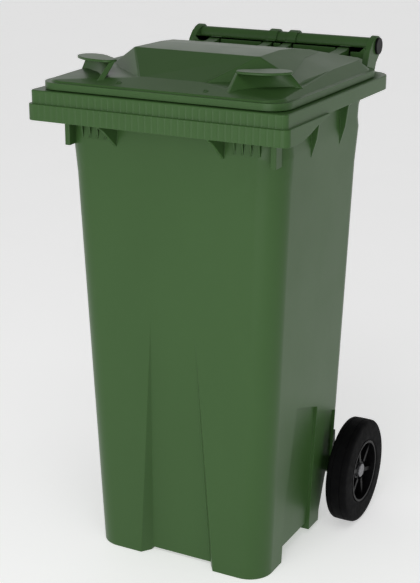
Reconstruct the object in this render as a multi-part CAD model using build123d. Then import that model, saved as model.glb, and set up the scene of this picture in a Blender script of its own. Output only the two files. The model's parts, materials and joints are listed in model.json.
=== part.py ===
from build123d import *
import os

os.makedirs("parts", exist_ok=True)

# Two-wheeled 120-litre refuse bin.  Millimetres, +Z up, X to the right seen
# from the front, Y towards the rear.  Each part is moved by SHIFT_Y as it is
# written, so that the origin lies on the ground, midway between the front of
# the comb and the back of the handle.
SHIFT_Y = -3.0

# ---- tub -------------------------------------------------------------------
WALL = 4.0                 # tub wall thickness
TUB_TOP_Z = 860.0          # height of the rim
TUB_HALF_W0 = 171.8        # outer half width at the ground
TUB_HALF_W1 = 207.0        # outer half width at the rim
TUB_FRONT0 = -186.0        # outer front face at the ground
TUB_FRONT1 = -205.5        # outer front face at the rim
TUB_REAR = 152.0           # upright rear wall
TUB_CORNER_R = 45.0
FLOOR_Z = 28.0             # underside of the tub behind the feet

# ---- rim and comb ----------------------------------------------------------
RIM_HALF_W = 235.5
RIM_FRONT = -258.0
RIM_REAR = 200.0
RIM_BAND_Z = 835.0         # lower edge of the upper band
RIM_T = 3.5
COMB_STEP = 4.5            # how far the comb band stands proud of the upper band
COMB_BOTTOM_Z = 809.5
COMB_TOP_Z = 837.5
RIB_HALF = 1.5             # half the thickness of a moulded rib
RIM_RIBS = 9               # ribs on each side of the middle one, behind the upper band
RIM_RIB_PITCH = 24.0
LOW_RIBS = 4               # short ribs beside each front corner
LOW_RIB_X = 121.0
LOW_RIB_PITCH = 15.0
SHOULDER_Z = 774.0         # height at which the tub is fullest under the rim
SHOULDER_OUT = 2.5         # how far it bulges there

# ---- hinge and handle ------------------------------------------------------
AXIS_Y = 247.5
AXIS_Z = 898.0
BAR_R = 14.5
EYE_R = 18.5
EAR_X0 = 174.0
EAR_X1 = 186.0
EYE_X0 = 11.0              # the two eyes near the middle of the bar
EYE_X1 = 29.0
ARM_X0 = 122.0             # the two outer arms of the lid
ARM_X1 = 144.0
WEB_HIGH_X = 148.0         # half width of the higher middle of the rear web

# ---- wheels ----------------------------------------------------------------
WHEEL_Y = 134.5
WHEEL_Z = 100.0
WHEEL_R = 100.0
WHEEL_X0 = 195.5           # inner side of the tyre
WHEEL_X1 = 238.5           # outer side of the tyre
AXLE_R = 11.0
CHEEK_X0 = 152.0           # inner and outer side of the webs that carry the axle
CHEEK_X1 = 168.0
PANEL_DEPTH = 6.0          # depth of the sunk side panels

# ---- lid -------------------------------------------------------------------
LID_T = 3.0
LID_HALF_W = 226.0
LID_FRONT = -250.0
LID_REAR = 165.0
SKIRT_Z0 = 861.2
SKIRT_Z1 = 873.0
DECK_Z = 889.0
DECK_HALF_W = 196.0
DECK_FRONT = -236.0
DECK_REAR = 148.0
DOME_Z = 921.0
GRIP_Z = 909.0             # top of the corner grips
FRONT_FALL = [(0, -228, 879), (50, -228, 879), (0, -181, 889)]
CORNER_FALL = [(122, -232, 881), (212, -136, 881), (208, -235, 876.5)]
RING_X = 80.0              # the two small rings on the sloping front of the lid
RING_Y = -226.0
RING_Z = 879.4
RING_TILT = 12.0
RING_R = 4.6


def box(x0, x1, y0, y1, z0, z1):
    """Box given by its two corners."""
    middle = Pos((x0 + x1) / 2, (y0 + y1) / 2, (z0 + z1) / 2)
    return middle * Box(x1 - x0, y1 - y0, z1 - z0)


def yz_prism(points, x0, x1):
    """Prism along X whose section is a polygon of (y, z) points."""
    plane = Plane(origin=(x0, 0, 0), x_dir=(0, 1, 0), z_dir=(1, 0, 0))
    face = plane * make_face(Polyline(*points, close=True))
    return extrude(face, amount=x1 - x0, dir=(1, 0, 0))


def xz_prism(points, y0, y1):
    """Prism along Y whose section is a polygon of (x, z) points."""
    plane = Plane(origin=(0, y0, 0), x_dir=(1, 0, 0), z_dir=(0, -1, 0))
    face = plane * make_face(Polyline(*points, close=True))
    return extrude(face, amount=y1 - y0, dir=(0, 1, 0))


def x_cylinder(x0, x1, radius, y, z):
    """Cylinder along X."""
    middle = Pos((x0 + x1) / 2, y, z)
    return middle * Rot(0, 90, 0) * Cylinder(radius, x1 - x0)


def mirrored(shape):
    """The same shape on the other side of the bin."""
    return mirror(shape, about=Plane.YZ)


def rounded(half_w, front, rear, front_r, rear_r, z):
    """Rounded rectangle at height z with its own radius at each end."""
    base = Pos(0, (front + rear) / 2) * Rectangle(2 * half_w, rear - front)
    near = base.vertices().group_by(Axis.Y)[0]
    face = fillet(near, front_r)
    far = face.vertices().group_by(Axis.Y)[-1]
    if rear_r > 0:
        face = fillet(far, rear_r)
    return Pos(0, 0, z) * face


def tub_section(z, inset):
    """Outline of the tub at height z, moved in by the inset."""
    t = z / TUB_TOP_Z
    half_w = TUB_HALF_W0 + (TUB_HALF_W1 - TUB_HALF_W0) * t - inset
    front = TUB_FRONT0 + (TUB_FRONT1 - TUB_FRONT0) * t + inset
    rear = TUB_REAR - inset
    depth = rear - front
    middle = Pos(0, (front + rear) / 2, z)
    return middle * RectangleRounded(2 * half_w, depth, TUB_CORNER_R - inset)


def tub_block(z0, z1, inset):
    """Solid tapered block between two heights."""
    low = tub_section(z0, inset)
    high = tub_section(z1, inset)
    return loft([low, high], ruled=True)


def front_flute(inset):
    """Wedge taken out of the front wall between the feet."""
    low_y = TUB_FRONT0 + 21.0 + inset
    top_z = 455.0
    top_y = TUB_FRONT0 + (TUB_FRONT1 - TUB_FRONT0) * top_z / TUB_TOP_Z
    out = -230.0
    half0 = 60.0 + inset
    half1 = 44.0 + inset
    low = Pos(0, 0, -2) * make_face(Polyline(
        (-half0 - 46, out), (half0 + 46, out), (half0, low_y), (-half0, low_y), close=True))
    high = Pos(0, 0, top_z) * make_face(Polyline(
        (-half1 - 26, out), (half1 + 26, out),
        (half1, top_y + inset - 0.5), (-half1, top_y + inset - 0.5), close=True))
    return loft([low, high], ruled=True)


def sunk_panel(points, inset):
    """Shallow sunk panel in the side wall, parallel to the wall."""
    return yz_prism(points, 150, 260) - tub_block(-20.0, 330.0, PANEL_DEPTH + inset)


def side_panel(inset):
    """Panel ahead of the rib that guards the wheel."""
    points = [(-99 - inset, -15), (22 + inset, -15), (22 + inset, 266 + inset),
              (-74 - inset, 298 + inset), (-99 - inset, 107)]
    return sunk_panel(points, inset)


def wheel_panel(inset):
    """Panel beside the wheel, behind the rib."""
    points = [(66 - inset, -15), (122 + inset, -15), (122 + inset, 222 + inset),
              (66 - inset, 240 + inset)]
    return sunk_panel(points, inset)


def axle_tunnel(inset):
    """Cut under the sloping lower rear wall that leaves room for the axle."""
    points = [(220, 260 + inset), (TUB_REAR - inset, 165 + inset), (105 - inset, 99 + inset),
              (100 - inset, 84 + inset), (82 - inset, 21 + inset), (63 - inset, 8 + inset),
              (63 - inset, -15), (220, -15)]
    return yz_prism(points, -260, 260)


def tub_shell():
    """Walls, floor, feet and recesses of the tub."""
    outer = tub_block(0.0, TUB_TOP_Z - 1.0, 0.0)
    outer -= front_flute(0.0)
    outer -= box(-260, 260, -94, 22, -5, FLOOR_Z - 3)
    outer -= box(-260, 260, 22, 200, -5, 10)
    outer -= box(-150, 150, 22, 200, -5, FLOOR_Z - 3)
    outer -= box(-62, 62, -200, -90, -5, 5)
    outer -= box(-62, 62, -158, -90, -5, FLOOR_Z - 3)
    for panel in (side_panel(0.0), wheel_panel(0.0)):
        outer -= panel
        outer -= mirrored(panel)
    outer -= axle_tunnel(0.0)
    inner = tub_block(FLOOR_Z + WALL, TUB_TOP_Z + 20, WALL)
    foot_room = tub_block(WALL, FLOOR_Z + 14, WALL + 1)
    room = foot_room & box(66, 200, -190, -99, 0, FLOOR_Z + 14)
    inner += room
    inner += mirrored(room)
    inner -= front_flute(WALL)
    for panel in (side_panel(WALL), wheel_panel(WALL)):
        inner -= panel
        inner -= mirrored(panel)
    inner -= axle_tunnel(WALL)
    return outer - inner


def rim():
    """Rim plate and the upright band that hangs from its edge."""
    edge = rounded(RIM_HALF_W, RIM_FRONT, RIM_REAR, 9, 40, RIM_BAND_Z)
    inside = rounded(RIM_HALF_W - RIM_T, RIM_FRONT + RIM_T, RIM_REAR - RIM_T, 5.5, 36.5, 0)
    band = extrude(edge, amount=TUB_TOP_Z - RIM_BAND_Z)
    band -= Pos(0, 0, RIM_BAND_Z - 1) * extrude(inside, amount=TUB_TOP_Z - RIM_BAND_Z + 1 - RIM_T)
    band = fillet(band.faces().sort_by(Axis.Z)[-1].edges(), 2.0)
    band -= tub_block(600.0, TUB_TOP_Z + 20, WALL)
    return band


def comb_band():
    """Skirt of the comb: full depth at the front, swept up along the sides."""
    out = rounded(RIM_HALF_W + COMB_STEP, RIM_FRONT - COMB_STEP, 0, 12, 0, COMB_BOTTOM_Z)
    height = COMB_TOP_Z - COMB_BOTTOM_Z
    solid = extrude(out, amount=height)
    solid = fillet(solid.faces().sort_by(Axis.Z)[-1].edges(), 1.5)
    hollow = rounded(RIM_HALF_W + COMB_STEP - RIM_T, RIM_FRONT - COMB_STEP + RIM_T, 10, 9, 0, COMB_BOTTOM_Z - 1)
    solid -= extrude(hollow, amount=height - 3.0)
    core = rounded(RIM_HALF_W - RIM_T, RIM_FRONT + RIM_T, 10, 5.5, 0, COMB_BOTTOM_Z - 1)
    solid -= extrude(core, amount=height + 10)
    sweep_up = [(20, 780), (20, 836), (-60, 836), (-99, 834.5), (-147, 825),
                (-178, 815.5), (-205, 810.5), (-225, 809.4), (-225, 780)]
    solid -= yz_prism(sweep_up, -260, 260)
    solid -= box(-260, 260, -99, 20, 800, 860)
    return solid


def comb_ribs():
    """Upright ribs hidden behind the upper band, and short ones low on the tub."""
    ribs = []
    for i in range(-RIM_RIBS, RIM_RIBS + 1):
        x = i * RIM_RIB_PITCH
        ribs.append(box(x - RIB_HALF, x + RIB_HALF, RIM_FRONT + 1, -200, RIM_BAND_Z, 858))
    outline = [(-200, 776), (-206, 778), (-210, 800), (-214, 858), (-200, 858)]
    for i in range(LOW_RIBS):
        x = LOW_RIB_X + i * LOW_RIB_PITCH
        low = yz_prism(outline, x - RIB_HALF, x + RIB_HALF)
        ribs.append(low)
        ribs.append(mirrored(low))
    return ribs


def gussets():
    """Triangular webs under the rim and the square posts at the front corners."""
    webs = []
    front = [(-260.5, 813), (-200, 813), (-200, 766), (-206, 768), (-246, 800), (-260.5, 808)]
    webs.append(yz_prism(front, 99, 103))
    post = box(188, 198, -213, -190, 762, 814)
    post = fillet(post.edges().filter_by(Axis.Z).group_by(Axis.Y)[0], 2)
    webs.append(post)
    for y in (-87.0, 35.0):
        side = [(200, 754), (204.5, 757), (214, 790), (219, 826), (233, 837), (233, 858), (200, 858)]
        webs.append(xz_prism(side, y - 3, y + 3))
    for x in (60.0, 120.0, 180.0):
        back = [(148, 770), (152, 770), (197, 830), (197, 858), (148, 858)]
        webs.append(yz_prism(back, x - 2, x + 2))
    return webs + [mirrored(w) for w in webs]


def shoulder():
    """Swelling of the walls under the rim: a short slope above and a long taper below."""
    full = tub_section(SHOULDER_Z, -SHOULDER_OUT)
    above = loft([full, tub_section(SHOULDER_Z + 18, 0.4)], ruled=True)
    below_it = loft([tub_section(SHOULDER_Z - 74, 0.4), full], ruled=True)
    return above + below_it - tub_block(SHOULDER_Z - 80, SHOULDER_Z + 24, 1.0)


def ear():
    """Ear that carries one end of the handle bar."""
    outline = [(190, 832), (194, 858), (200, 872), (209, 893), (221, 906), (236, 913.5),
               (256, 913.5), (265.5, 900), (262, 884), (244, 868), (236, 850), (222, 836), (198, 826)]
    plate = yz_prism(outline, EAR_X0, EAR_X1)
    plate += x_cylinder(EAR_X0, EAR_X1, EYE_R, AXIS_Y, AXIS_Z)
    return plate


def rear_web():
    """Low web between the ears, notched where the arms of the lid pass."""
    web = box(-WEB_HIGH_X, WEB_HIGH_X, 209, 213, 857, 895.5)
    web += box(-EAR_X0 - 1, EAR_X0 + 1, 209, 213, 857, 890)
    shelf = box(-EAR_X0 - 1, EAR_X0 + 1, 194, 213, 856.5, 860)
    corner = xz_prism([(164, 889), (176, 889), (176, 900)], 209, 213)
    web += corner
    web += mirrored(corner)
    for x0, x1 in ((EYE_X0 - 4, EYE_X1 + 4), (ARM_X0 - 4, ARM_X1 + 4)):
        notch = box(x0, x1, 205, 216, 864, 900)
        web -= notch
        web -= mirrored(notch)
    return web + shelf


def axle_cheeks():
    """Webs around the axle under the sloping rear wall."""
    cheeks = []
    outline = [(103, 98), (148, 166), (TUB_REAR, 166), (TUB_REAR, 97), (146, 88),
               (134.5, 84.5), (122, 87), (113, 94)]
    cheeks.append(yz_prism(outline, CHEEK_X0, CHEEK_X1))
    for x in (50.0, 100.0):
        cheeks.append(yz_prism(outline, x - 2.5, x + 2.5))
    return cheeks + [mirrored(c) for c in cheeks]


def make_tub():
    body = tub_shell() + rim()
    body += comb_band()
    for extra in [shoulder()] + comb_ribs() + gussets() + axle_cheeks():
        body += extra
    body += ear()
    body += mirrored(ear())
    body += rear_web()
    body -= tub_block(600.0, TUB_TOP_Z + 20, WALL)
    body -= x_cylinder(-240, 240, AXLE_R + 0.04, WHEEL_Y, WHEEL_Z)
    body -= x_cylinder(-240, 240, BAR_R + 0.04, AXIS_Y, AXIS_Z)
    return body


def below(solid, points, offset):
    """The part of a solid under the plane through three points, less the offset."""
    a, b, c = (Vector(*p) for p in points)
    normal = (b - a).cross(c - a).normalized()
    if normal.Z < 0:
        normal = -normal
    plane = Plane(origin=a - normal * offset, z_dir=normal)
    return split(solid, bisect_by=plane, keep=Keep.BOTTOM)


def flipped(points):
    """The same three points on the other side of the bin."""
    return [(-x, y, z) for x, y, z in points]


def roof(top_z, middle, sides, offset):
    """Raised block with sloping faces: some across the bin, some on both sides."""
    half = DECK_HALF_W - offset
    block = box(-half, half, DECK_FRONT + offset, DECK_REAR - offset, 876, top_z - offset)
    for points in middle:
        block = below(block, points, offset)
    for points in sides:
        block = below(block, points, offset)
        block = below(block, flipped(points), offset)
    return block


def lid_tier(inset):
    """Flat body of the lid without the dome, moved in by the inset."""
    skirt = extrude(rounded(LID_HALF_W - inset, LID_FRONT + inset, LID_REAR - inset,
                            36 - inset, 40 - inset, SKIRT_Z0 - (5 if inset else 0)),
                    amount=SKIRT_Z1 - SKIRT_Z0 + (5 if inset else 0) - inset)
    low = rounded(218 - inset, -245 + inset, 160 - inset, 34 - inset, 38 - inset, SKIRT_Z1 - inset - 0.5)
    high = rounded(DECK_HALF_W - inset, DECK_FRONT + inset, DECK_REAR - inset,
                   26 - inset, 28 - inset, DECK_Z - inset)
    deck = loft([low, high], ruled=True)
    deck = below(deck, FRONT_FALL, inset)
    deck = below(deck, CORNER_FALL, inset)
    deck = below(deck, flipped(CORNER_FALL), inset)
    return skirt + deck


def saddle(offset):
    """Rise of the deck towards the hinge."""
    front = [(0, -110, 887), (50, -110, 887), (0, 57, 907)]
    rear = [(0, 152, 889), (50, 152, 889), (0, 86, 907)]
    side = [(196, 0, 888), (196, 50, 888), (140, 0, 903)]
    return roof(908.0, [front, rear], [side], offset)


def dome(offset):
    """Raised dome in the middle of the lid, cut back at its front corners."""
    front = [(0, -112, DOME_Z), (50, -112, DOME_Z), (0, -196, 885)]
    crown = [(0, -30, DOME_Z), (50, -30, DOME_Z), (0, 20, 917.5)]
    rear = [(0, 20, 917.5), (50, 20, 917.5), (0, 70, 910)]
    tail = [(0, 86, 906.5), (50, 86, 906.5), (0, 152, 888.5)]
    side = [(118, -112, DOME_Z), (110, 60, DOME_Z), (143, 0, 902)]
    corner = [(155, -108, 887), (74, -181, 888), (118, -112, DOME_Z)]
    block = roof(DOME_Z, [front], [side, corner], offset)
    if offset == 0:
        soft = block.edges().filter_by(lambda e: e.center().Z > 888 and e.center().Y < 100)
        block = fillet(soft, 7.0)
    for points in (crown, rear, tail):
        block = below(block, points, offset)
    return block


def ring_mark():
    """Small raised ring on the sloping front of the lid."""
    ring = Cylinder(RING_R, 3.0) - Cylinder(RING_R - 1.3, 4.0)
    return Pos(RING_X, RING_Y, RING_Z - 0.7) * Rot(RING_TILT, 0, 0) * ring


def band_face(front, back, z):
    """Face between two arcs, each given by three (x, y) points."""
    edges = [ThreePointArc(*front), Line(front[2], back[2]),
             ThreePointArc(*reversed(back)), Line(back[0], front[0])]
    return Pos(0, 0, z) * make_face(edges)


def corner_grip():
    """Hooded grip across the front corner of the lid, hollow side to the corner."""
    low = band_face([(122, -232), (157, -172), (212, -136)], [(113, -226), (150, -164), (206, -128)], 876)
    high = band_face([(119, -191), (147, -161), (190, -150)], [(112, -185), (141, -153), (186, -142)], 906)
    wall = loft([low, high], ruled=True)
    lip_line = Spline((113, -184), (121, -196), (141, -198), (164, -194), (186, -181), (198, -163),
                      (192, -145), (172, -139), (149, -148), (126, -166), periodic=True)
    lip = Pos(0, 0, GRIP_Z - 4) * extrude(make_face(lip_line), amount=4)
    lip = fillet(lip.edges().group_by(Axis.Z)[-1], 1.6)
    return wall + lip


def lid_arm(x0, x1):
    """Arm from the rear of the lid that wraps the handle bar."""
    outline = [(120, 884), (120, 889), (150, 889.5), (200, 893), (229.3, 900), (236, 914), (248, 916),
               (262, 906), (264, 892), (252, 880.5), (238, 880), (215, 876), (170, 874), (150, 874)]
    arm = yz_prism(outline, x0, x1)
    arm += x_cylinder(x0, x1, EYE_R, AXIS_Y, AXIS_Z)
    arm -= x_cylinder(x0 - 1, x1 + 1, BAR_R + 0.06, AXIS_Y, AXIS_Z)
    return arm


def open_arm(x0, x1):
    """Outer arm: cradles the bar from below and behind, open at the front."""
    arm = lid_arm(x0, x1)
    gap = [(AXIS_Y - 24, AXIS_Z - 4), (AXIS_Y, AXIS_Z - 4), (AXIS_Y + 30, AXIS_Z + 4),
           (AXIS_Y + 30, AXIS_Z + 30), (AXIS_Y - 24, AXIS_Z + 30)]
    arm -= yz_prism(gap, x0 - 1, x1 + 1)
    return arm


def make_lid():
    solid = lid_tier(0.0) + saddle(0.0) + dome(0.0)
    hollow = lid_tier(LID_T) + saddle(LID_T) + dome(LID_T)
    shell = solid - hollow
    seat_out = extrude(rounded(213, -212, 158.5, 40, 40, TUB_TOP_Z + 0.4), amount=24)
    seat_in = extrude(rounded(210, -209, 155.5, 37, 37, TUB_TOP_Z - 1), amount=30)
    shell += (seat_out - seat_in) & lid_tier(0.5)
    seat_low = extrude(rounded(213, -212, 158.5, 40, 40, TUB_TOP_Z + 0.4), amount=6)
    shell += seat_low - seat_in
    for extra in (corner_grip(), ring_mark()):
        shell += extra
        shell += mirrored(extra)
    for arm in (lid_arm(EYE_X0, EYE_X1), open_arm(ARM_X0, ARM_X1)):
        shell += arm
        shell += mirrored(arm)
    return shell


def make_bar():
    """Handle bar: a tube with a low moulding seam along its front."""
    bar = x_cylinder(-EAR_X1, EAR_X1, BAR_R, AXIS_Y, AXIS_Z)
    for x0, x1 in ((0, EYE_X0 - 1), (EYE_X1 + 1, ARM_X0 - 1), (ARM_X1 + 1, EAR_X0 - 1)):
        seam = box(x0, x1, AXIS_Y - BAR_R - 1.2, AXIS_Y - BAR_R + 2, AXIS_Z - 1.2, AXIS_Z + 1.2)
        bar += seam
        bar += mirrored(seam)
    bar -= x_cylinder(-EAR_X1 - 1, EAR_X1 + 1, BAR_R - 4, AXIS_Y, AXIS_Z)
    return bar


def bar_cap():
    """Black cap pushed into the right-hand end of the handle bar."""
    cap = x_cylinder(EAR_X1 + 0.2, EAR_X1 + 4.2, 15.5, AXIS_Y, AXIS_Z)
    cap = fillet(cap.edges().group_by(Axis.X)[-1], 1.2)
    cap += x_cylinder(EAR_X1 - 18, EAR_X1 + 0.5, BAR_R - 4.03, AXIS_Y, AXIS_Z)
    return cap


def tyre():
    """Solid rubber tyre with rounded shoulders and two edge ribs."""
    profile = [(60.0, WHEEL_X0 + 4), (66, WHEEL_X0 + 1.5), (84, WHEEL_X0), (91, WHEEL_X0 + 0.8),
               (96, WHEEL_X0 + 4), (97.0, WHEEL_X0 + 5), (97.0, WHEEL_X0 + 6.5), (98.6, WHEEL_X0 + 7.5),
               (99.4, WHEEL_X0 + 12), (WHEEL_R, WHEEL_X0 + 18), (WHEEL_R, WHEEL_X1 - 18),
               (99.4, WHEEL_X1 - 12), (98, WHEEL_X1 - 7), (95, WHEEL_X1 - 3.5), (90, WHEEL_X1 - 1.2),
               (84, WHEEL_X1 - 0.4), (70, WHEEL_X1), (63, WHEEL_X1 - 0.8), (60.0, WHEEL_X1 - 3)]
    plane = Plane(origin=(0, WHEEL_Y, WHEEL_Z), x_dir=(0, 0, 1), z_dir=(0, 1, 0))
    face = plane * make_face(Polyline(*profile, close=True))
    return revolve(face, axis=Axis((0, WHEEL_Y, WHEEL_Z), (1, 0, 0)))


def ring_x(x0, x1, outer, inner):
    """Ring about the wheel centre."""
    ring = x_cylinder(x0, x1, outer, WHEEL_Y, WHEEL_Z)
    return ring - x_cylinder(x0 - 1, x1 + 1, inner, WHEEL_Y, WHEEL_Z)


def hub():
    """Moulded wheel centre: rim, dished web with windows, spokes and boss."""
    body = ring_x(WHEEL_X0 + 5, WHEEL_X1 - 0.5, 59.95, 55.5)
    body += ring_x(WHEEL_X1 - 22, WHEEL_X1 - 18, 56.5, 20)
    body += ring_x(WHEEL_X0 - 4, WHEEL_X1 - 12, 22, AXLE_R + 0.06)
    for i in range(6):
        spoke = box(WHEEL_X1 - 19, WHEEL_X1 - 8, WHEEL_Y - 4, WHEEL_Y + 4, WHEEL_Z + 19, WHEEL_Z + 57)
        angle = 60.0 * i + 12
        turn = Pos(0, WHEEL_Y, WHEEL_Z) * Rot(angle, 0, 0) * Pos(0, -WHEEL_Y, -WHEEL_Z)
        body += turn * spoke
        back = box(WHEEL_X0 + 6, WHEEL_X1 - 20, WHEEL_Y - 2, WHEEL_Y + 2, WHEEL_Z + 19, WHEEL_Z + 57)
        body += turn * back
    return body


def axle_cap():
    """Push-on cap that keeps the wheel on the axle."""
    cap = x_cylinder(WHEEL_X1 - 11.7, WHEEL_X1 - 6, 13.2, WHEEL_Y, WHEEL_Z)
    cap = fillet(cap.edges().group_by(Axis.X)[-1], 2.0)
    return cap - x_cylinder(WHEEL_X1 - 13, WHEEL_X1 - 8, AXLE_R + 0.01, WHEEL_Y, WHEEL_Z)


def spacer():
    """Sleeve on the axle between the tub and the wheel."""
    return ring_x(CHEEK_X1 + 0.3, WHEEL_X0 - 4.3, 16, AXLE_R + 0.03)


def make_axle():
    """Plain steel axle."""
    return x_cylinder(-(WHEEL_X1 - 8.2), WHEEL_X1 - 8.2, AXLE_R, WHEEL_Y, WHEEL_Z)


def write(name, shape):
    """One node, moved to the origin of the whole bin."""
    export_step(Pos(0, SHIFT_Y, 0) * shape, f"parts/{name}.step")


def pair(name, shape):
    """Right-hand part and its mirror image, as two nodes."""
    write(name + "_right", shape)
    write(name + "_left", mirrored(shape))


write("tub", make_tub())
write("lid", make_lid())
write("handle_bar", make_bar())
write("axle", make_axle())
pair("bar_cap", bar_cap())
pair("tyre", tyre())
pair("hub", hub())
pair("axle_cap", axle_cap())
pair("axle_spacer", spacer())
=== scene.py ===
import json
import math

import bmesh
import bpy
from mathutils import Matrix, Vector


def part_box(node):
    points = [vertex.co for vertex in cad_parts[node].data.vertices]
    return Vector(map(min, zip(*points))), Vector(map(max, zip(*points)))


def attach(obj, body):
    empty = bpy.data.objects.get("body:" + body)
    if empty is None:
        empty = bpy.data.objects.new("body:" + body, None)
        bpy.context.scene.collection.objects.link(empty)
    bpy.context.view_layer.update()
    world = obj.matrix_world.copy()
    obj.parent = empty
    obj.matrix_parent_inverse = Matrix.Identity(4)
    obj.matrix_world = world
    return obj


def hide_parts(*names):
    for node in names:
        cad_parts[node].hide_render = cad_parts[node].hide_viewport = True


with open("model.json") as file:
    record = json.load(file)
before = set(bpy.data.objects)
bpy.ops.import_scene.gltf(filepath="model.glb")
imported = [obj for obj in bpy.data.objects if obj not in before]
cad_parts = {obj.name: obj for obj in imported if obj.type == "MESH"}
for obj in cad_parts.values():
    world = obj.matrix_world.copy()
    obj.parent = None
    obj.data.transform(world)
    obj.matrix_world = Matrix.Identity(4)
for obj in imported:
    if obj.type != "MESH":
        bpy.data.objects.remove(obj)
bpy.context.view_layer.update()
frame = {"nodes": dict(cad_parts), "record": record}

# ---------------------------------------------------------------- sizes, metres
EDGE = 0.0009              # width of the rounding along the edges of the tub and the lid
SMALL_EDGE = 0.0006        # the same on the small pieces
WELD = 2e-5                # vertices closer than this are one

# Faint upright lines down the front of the rim
RIM_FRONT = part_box("tub")[0].y
MARK_PITCH = 0.012         # from one line to the next
MARK_REACH = 0.012         # how far behind the front of the rim they show
MARK_TOP = 0.857           # they end just under the lid
MARK_FINENESS = 14.0       # power of the cosine that draws them

# The flute between the front feet, on either side of the middle
FLUTE_BACK = -0.150
FLUTE_TOP = 0.460
FLUTE_SIDES = (0.030, 0.125)

# Half of a tyre's outline, from the middle of the tread to the bore. The second number of each
# point is its distance from the middle, as a share of half the width.
TYRE_STEPS = 144           # flats around each tyre
TYRE_BORE = 0.6            # radius of the bore over that of the tread
TREAD = [                  # the first number is a depth under the radius of the tread
    (0.0, 0.0), (0.0, 0.36), (0.0012, 0.40), (0.0012, 0.44), (0.0001, 0.48), (0.0004, 0.74),
    (0.0016, 0.84), (0.0042, 0.92), (0.0075, 0.955), (0.012, 0.97), (0.020, 0.98), (0.031, 1.0),
]
BEAD = [                   # the first number is a height over the bore
    (0.005, 0.985), (0.0025, 0.95), (0.0002, 0.88), (0.0002, 0.0),
]

# ---------------------------------------------------------------- angles, degrees
FLAT = 0.6                 # faces that meet at less are joined into one
CREASE = 3.0               # a flatter bend than this is never a crease
SOFT_BEND = 38.0           # shading runs smoothly over flatter bends than this
SOFT_BEND_CRISP = 30.0     # the same on the crisper shapes, the lid and the tyres
SHARP = 28.0               # edges sharper than this are rounded
SHARP_LID = 20.0           # the same on the lid


# ---------------------------------------------------------------- materials
class Shader:
    """A Principled material with short helpers for its procedural nodes."""

    def __init__(self, name, roughness, specular=0.5):
        self.material = bpy.data.materials.new(name)
        self.material.use_nodes = True
        self.nodes = self.material.node_tree.nodes
        self.links = self.material.node_tree.links
        self.surface = self.nodes["Principled BSDF"]
        self.surface.inputs["Roughness"].default_value = roughness
        self.surface.inputs["Specular IOR Level"].default_value = specular
        self.place = self.nodes.new("ShaderNodeTexCoord").outputs["Object"]

    def join(self, source, target):
        self.links.new(source, target)

    def noise(self, scale, detail=3.0, rough=0.5, stretch=(1.0, 1.0, 1.0)):
        mapping = self.nodes.new("ShaderNodeMapping")
        mapping.inputs["Scale"].default_value = stretch
        self.join(self.place, mapping.inputs["Vector"])
        node = self.nodes.new("ShaderNodeTexNoise")
        node.inputs["Scale"].default_value = scale
        node.inputs["Detail"].default_value = detail
        node.inputs["Roughness"].default_value = rough
        self.join(mapping.outputs["Vector"], node.inputs["Vector"])
        return node.outputs["Fac"]

    def between(self, source, low, high, out_low=0.0, out_high=1.0):
        """The source from low to high, mapped to the range from out_low to out_high."""
        node = self.nodes.new("ShaderNodeMapRange")
        node.inputs["From Min"].default_value = low
        node.inputs["From Max"].default_value = high
        node.inputs["To Min"].default_value = out_low
        node.inputs["To Max"].default_value = out_high
        self.join(source, node.inputs["Value"])
        return node.outputs["Result"]

    def maths(self, operation, *values):
        """The operation on one or two values, each a number or a node's output."""
        node = self.nodes.new("ShaderNodeMath")
        node.operation = operation
        for value, socket in zip(values, node.inputs):
            if isinstance(value, (int, float)):
                socket.default_value = value
            else:
                self.join(value, socket)
        return node.outputs["Value"]

    def blend(self, factor, colour_a, colour_b):
        """A mix of two colours, each three numbers or a node's output."""
        node = self.nodes.new("ShaderNodeMix")
        node.data_type = "RGBA"
        self.join(factor, node.inputs["Factor"])
        for value, socket in zip((colour_a, colour_b), (node.inputs[6], node.inputs[7])):
            if isinstance(value, tuple):
                socket.default_value = (*value, 1.0)
            else:
                self.join(value, socket)
        return node.outputs[2]

    def colour(self, source):
        self.join(source, self.surface.inputs["Base Color"])

    def roughness(self, source):
        self.join(source, self.surface.inputs["Roughness"])

    def bump(self, height, strength, distance, below=None):
        """Adds a layer of bump over the one below, and gives its normal."""
        node = self.nodes.new("ShaderNodeBump")
        node.inputs["Strength"].default_value = strength
        node.inputs["Distance"].default_value = distance
        self.join(height, node.inputs["Height"])
        if below is not None:
            self.join(below, node.inputs["Normal"])
        self.join(node.outputs["Normal"], self.surface.inputs["Normal"])
        return node.outputs["Normal"]


def rim_marks(made):
    """Faint upright lines at an even pitch down the front of the rim."""
    parts = made.nodes.new("ShaderNodeSeparateXYZ")
    made.join(made.place, parts.inputs["Vector"])
    x, y, z = parts.outputs
    turns = made.maths("MULTIPLY", x, math.pi / MARK_PITCH)
    wave = made.maths("ABSOLUTE", made.maths("COSINE", turns))
    line = made.maths("POWER", wave, MARK_FINENESS)
    in_front = made.maths("LESS_THAN", y, RIM_FRONT + MARK_REACH)
    under_lid = made.maths("LESS_THAN", z, MARK_TOP)
    return made.maths("MULTIPLY", line, made.maths("MULTIPLY", in_front, under_lid))


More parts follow.
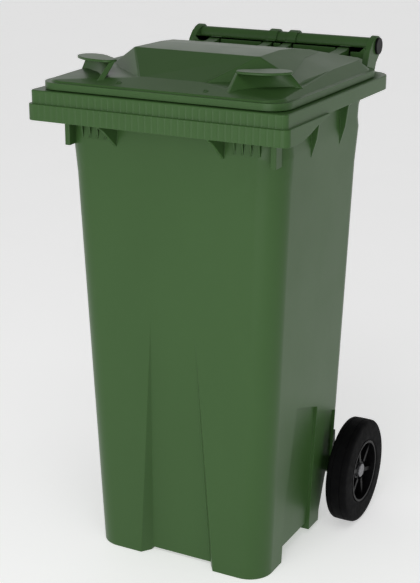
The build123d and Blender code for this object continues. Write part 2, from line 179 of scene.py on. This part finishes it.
def green_plastic():
    """Satin polyethylene: slight flow marks, fine grain, and duller scuffed patches."""
    dark, light, scuffed = (0.038, 0.092, 0.024), (0.042, 0.100, 0.027), (0.048, 0.108, 0.034)
    made = Shader("green_plastic", roughness=0.34, specular=0.24)
    flow = made.noise(scale=5.0, detail=4.0, rough=0.55, stretch=(1.0, 1.0, 0.35))
    body = made.blend(made.between(flow, 0.3, 0.7), dark, light)
    scuffs = made.noise(scale=38.0, detail=6.0, rough=0.7)
    made.colour(made.blend(made.between(scuffs, 0.56, 0.80, 0.0, 0.35), body, scuffed))
    gloss = made.noise(scale=11.0, detail=5.0, rough=0.6)
    made.roughness(made.between(gloss, 0.3, 0.75, 0.31, 0.37))
    swell = made.noise(scale=14.0, detail=1.0, rough=0.3)
    grain = made.noise(scale=700.0, detail=1.0, rough=0.4)
    layer = made.bump(swell, strength=0.10, distance=0.0010)
    layer = made.bump(rim_marks(made), strength=0.6, distance=0.0008, below=layer)
    made.bump(grain, strength=0.05, distance=0.0002, below=layer)
    return made.material


def black_plastic():
    """Satin black moulding with a fine grain."""
    dark, light = (0.0028, 0.0028, 0.0032), (0.0044, 0.0044, 0.0048)
    made = Shader("black_plastic", roughness=0.36, specular=0.10)
    patches = made.noise(scale=40.0, detail=4.0, rough=0.6)
    made.colour(made.blend(made.between(patches, 0.35, 0.7), dark, light))
    gloss = made.noise(scale=60.0, detail=4.0, rough=0.6)
    made.roughness(made.between(gloss, 0.3, 0.7, 0.34, 0.48))
    grain = made.noise(scale=1400.0, detail=2.0, rough=0.5)
    made.bump(grain, strength=0.15, distance=0.0002)
    return made.material


def tyre_rubber():
    """Matt rubber, greyer where it has rolled in dust."""
    clean, dusty = (0.0026, 0.0026, 0.0030), (0.0060, 0.0060, 0.0058)
    made = Shader("tyre_rubber", roughness=0.72, specular=0.06)
    dust = made.noise(scale=55.0, detail=6.0, rough=0.65)
    made.colour(made.blend(made.between(dust, 0.45, 0.75, 0.0, 0.5), clean, dusty))
    gloss = made.noise(scale=90.0, detail=4.0, rough=0.6)
    made.roughness(made.between(gloss, 0.3, 0.7, 0.62, 0.82))
    grain = made.noise(scale=700.0, detail=3.0, rough=0.6)
    made.bump(grain, strength=0.25, distance=0.0003)
    return made.material


def steel():
    """Bare drawn steel, brushed along its length."""
    dark, light = (0.42, 0.42, 0.42), (0.56, 0.56, 0.55)
    made = Shader("steel", roughness=0.35)
    made.surface.inputs["Metallic"].default_value = 1.0
    drawn = made.noise(scale=160.0, detail=4.0, rough=0.6, stretch=(0.05, 1.0, 1.0))
    made.colour(made.blend(drawn, dark, light))
    made.roughness(made.between(drawn, 0.3, 0.7, 0.28, 0.45))
    return made.material


def zinc_steel():
    """Dull zinc-plated pressing."""
    dark, light = (0.16, 0.16, 0.17), (0.30, 0.30, 0.31)
    made = Shader("zinc_steel", roughness=0.45)
    made.surface.inputs["Metallic"].default_value = 0.85
    spangle = made.between(made.noise(scale=220.0, detail=4.0, rough=0.6), 0.35, 0.7)
    made.colour(made.blend(spangle, dark, light))
    made.roughness(made.between(spangle, 0.0, 1.0, 0.38, 0.55))
    grain = made.noise(scale=900.0, detail=2.0, rough=0.5)
    made.bump(grain, strength=0.15, distance=0.0002)
    return made.material


MATERIALS = {
    "green_plastic": green_plastic(),
    "black_plastic": black_plastic(),
    "tyre_rubber": tyre_rubber(),
    "steel": steel(),
    "zinc_steel": zinc_steel(),
}


def paint(piece, slot):
    piece.data.materials.clear()
    piece.data.materials.append(MATERIALS[slot])


# ---------------------------------------------------------------- pieces
SLOTS = {row["node"]: row["material_slot"] for row in frame["record"]["subparts"]}
BODY_OF = {}
for body, nodes in frame["record"]["behaviour"]["bodies"].items():
    for node in nodes:
        BODY_OF[node] = body


def clean_copy(node):
    """The node's shape with its triangles joined back into flat faces."""
    shape = bmesh.new()
    shape.from_mesh(frame["nodes"][node].data)
    bmesh.ops.remove_doubles(shape, verts=shape.verts, dist=WELD)
    bmesh.ops.dissolve_limit(shape, angle_limit=math.radians(FLAT), verts=shape.verts, edges=shape.edges)
    return shape


def round_edges(shape, width, sharper_than):
    """Rounds every edge sharper than the angle, apart from those too short for the width."""
    limit = math.radians(sharper_than)
    shortest = 1.1 * width
    chosen = []
    for edge in shape.edges:
        if len(edge.link_faces) != 2 or edge.calc_face_angle(0.0) < limit:
            continue
        if edge.calc_length() >= shortest:
            chosen.append(edge)
    if chosen:
        bmesh.ops.bevel(shape, geom=chosen, offset=width, segments=2, profile=0.5,
                        affect="EDGES", clamp_overlap=False, miter_outer="ARC")


def finish_piece(shape, name, node, soft_bend=SOFT_BEND, crisp=None):
    """Turns a shape into a piece that stands for the node and rides on its body."""
    mesh = bpy.data.meshes.new(name)
    for face in shape.faces:
        face.smooth = True
    for edge in shape.edges:
        angle = math.degrees(edge.calc_face_angle(0.0))
        middle = (edge.verts[0].co + edge.verts[1].co) / 2
        creased = crisp is not None and angle > CREASE and crisp(middle)
        edge.smooth = angle < soft_bend and not creased
    shape.to_mesh(mesh)
    shape.free()
    piece = bpy.data.objects.new(name, mesh)
    bpy.context.scene.collection.objects.link(piece)
    weighted = piece.modifiers.new("flat_faces", "WEIGHTED_NORMAL")
    weighted.keep_sharp = True
    weighted.weight = 80
    paint(piece, SLOTS[node])
    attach(piece, BODY_OF[node])
    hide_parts(node)


def in_flute(point):
    inner, outer = FLUTE_SIDES
    return point.y < FLUTE_BACK and point.z < FLUTE_TOP and inner < abs(point.x) < outer


def make_tub():
    """The tub, with every crease in its flute kept crisp."""
    shape = clean_copy("tub")
    round_edges(shape, EDGE, SHARP)
    finish_piece(shape, "tub_moulding", "tub", crisp=in_flute)


def make_lid():
    shape = clean_copy("lid")
    round_edges(shape, EDGE, SHARP_LID)
    finish_piece(shape, "lid_moulding", "lid", SOFT_BEND_CRISP)


def make_small_piece(node):
    shape = clean_copy(node)
    round_edges(shape, SMALL_EDGE, SHARP)
    finish_piece(shape, node + "_piece", node)


def lathe(shape, profile, centre, steps):
    """Adds a closed ring to the shape: (radius, x) points turned about the wheel's axis."""
    rings = []
    for i in range(steps):
        angle = 2 * math.pi * i / steps
        back, up = math.cos(angle), math.sin(angle)
        points = [(x, centre.y + r * back, centre.z + r * up) for r, x in profile]
        rings.append([shape.verts.new(point) for point in points])
    for i, ring in enumerate(rings):
        after = rings[(i + 1) % steps]
        for j in range(len(profile)):
            k = (j + 1) % len(profile)
            shape.faces.new((ring[j], ring[k], after[k], after[j]))
    bmesh.ops.recalc_face_normals(shape, faces=shape.faces)


def make_tyre(side, sign):
    """Rubber tyre: flat tread with two fine grooves, crisp shoulders, flat walls."""
    low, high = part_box("tyre_" + side)
    centre = (low + high) / 2
    radius = (high.z - low.z) / 2
    half = (high.x - low.x) / 2
    bore = radius * TYRE_BORE
    outer_half = [(radius - depth, t) for depth, t in TREAD]
    outer_half += [(bore + height, t) for height, t in BEAD]
    profile = [(r, centre.x + sign * half * t) for r, t in outer_half]
    profile += [(r, centre.x - sign * half * t) for r, t in reversed(outer_half[1:-1])]
    shape = bmesh.new()
    lathe(shape, profile, centre, TYRE_STEPS)
    finish_piece(shape, "tyre_moulding_" + side, "tyre_" + side, SOFT_BEND_CRISP)


make_tub()
make_lid()
make_tyre("right", 1)
make_tyre("left", -1)
for node in frame["nodes"]:
    if node not in ("tub", "lid", "tyre_right", "tyre_left"):
        make_small_piece(node)


# ---------------------------------------------------------------- stage
def make_stage():
    """A wide pale floor at the height of the feet, which glows a little to look near white."""
    size = 14.0
    dark, light = (0.93, 0.93, 0.93), (0.95, 0.95, 0.95)
    mesh = bpy.data.meshes.new("floor")
    corners = [(-size, -size, 0), (size, -size, 0), (size, size, 0), (-size, size, 0)]
    mesh.from_pydata(corners, [], [(0, 1, 2, 3)])
    floor = bpy.data.objects.new("floor", mesh)
    bpy.context.scene.collection.objects.link(floor)
    made = Shader("floor_paint", roughness=0.75, specular=0.2)
    tone = made.between(made.noise(scale=3.0), 0.3, 0.7)
    made.colour(made.blend(tone, dark, light))
    made.surface.inputs["Emission Color"].default_value = (1.0, 1.0, 1.0, 1.0)
    made.surface.inputs["Emission Strength"].default_value = 0.42
    mesh.materials.append(made.material)


def make_world():
    """Studio surround: bright near the horizon, darker overhead."""
    fade_from, fade_to = 0.30, 0.62      # upward part of the direction: 0 level, 1 straight up
    bright, dim = 0.74, 0.22
    world = bpy.data.worlds.new("studio")
    world.use_nodes = True
    nodes, links = world.node_tree.nodes, world.node_tree.links
    direction = nodes.new("ShaderNodeTexCoord")
    parts = nodes.new("ShaderNodeSeparateXYZ")
    fade = nodes.new("ShaderNodeMapRange")
    fade.inputs["From Min"].default_value = fade_from
    fade.inputs["From Max"].default_value = fade_to
    fade.inputs["To Min"].default_value = bright
    fade.inputs["To Max"].default_value = dim
    sky = nodes["Background"]
    sky.inputs["Color"].default_value = (1.0, 1.0, 1.0, 1.0)
    links.new(direction.outputs["Generated"], parts.inputs["Vector"])
    links.new(parts.outputs["Z"], fade.inputs["Value"])
    links.new(fade.outputs["Result"], sky.inputs["Strength"])
    bpy.context.scene.world = world


def area_light(name, place, aim, size, power):
    data = bpy.data.lights.new(name, "AREA")
    data.shape = "RECTANGLE"
    data.size, data.size_y = size
    data.energy = power
    lamp = bpy.data.objects.new(name, data)
    lamp.location = place
    lamp.rotation_euler = (Vector(aim) - Vector(place)).to_track_quat("-Z", "Y").to_euler()
    lamp.visible_camera = False
    bpy.context.scene.collection.objects.link(lamp)


def make_lights():
    """A wide low soft box in front and a weaker one high up."""
    middle = (0.0, 0.0, 0.5)
    area_light("key", place=(0.3, -3.4, 1.1), aim=middle, size=(2.4, 1.4), power=34.0)
    area_light("top", place=(0.6, -1.6, 3.2), aim=middle, size=(2.0, 1.6), power=16.0)


# ---------------------------------------------------------------- camera
def make_camera():
    """A long lens from the front and a little to the right, looking down."""
    azimuth = math.radians(27.68)
    pitch = math.radians(18.30)
    roll = math.radians(0.17)
    distance = 2.502
    aim = Vector((-0.03255, -0.003, 0.46648))
    forward = Vector((
        -math.sin(azimuth) * math.cos(pitch),
        math.cos(azimuth) * math.cos(pitch),
        -math.sin(pitch),
    ))
    data = bpy.data.cameras.new("camera")
    data.lens = 83.48
    data.shift_x = 0.0024
    data.shift_y = -0.0040
    camera = bpy.data.objects.new("camera", data)
    place = Matrix.Translation(aim - forward * distance)
    turn = forward.to_track_quat("-Z", "Y").to_matrix().to_4x4()
    camera.matrix_world = place @ turn @ Matrix.Rotation(roll, 4, "Z")
    bpy.context.scene.collection.objects.link(camera)
    bpy.context.scene.camera = camera


make_stage()
make_world()
make_lights()
make_camera()
bpy.context.scene.view_settings.view_transform = "Standard"      # colours with no film curve
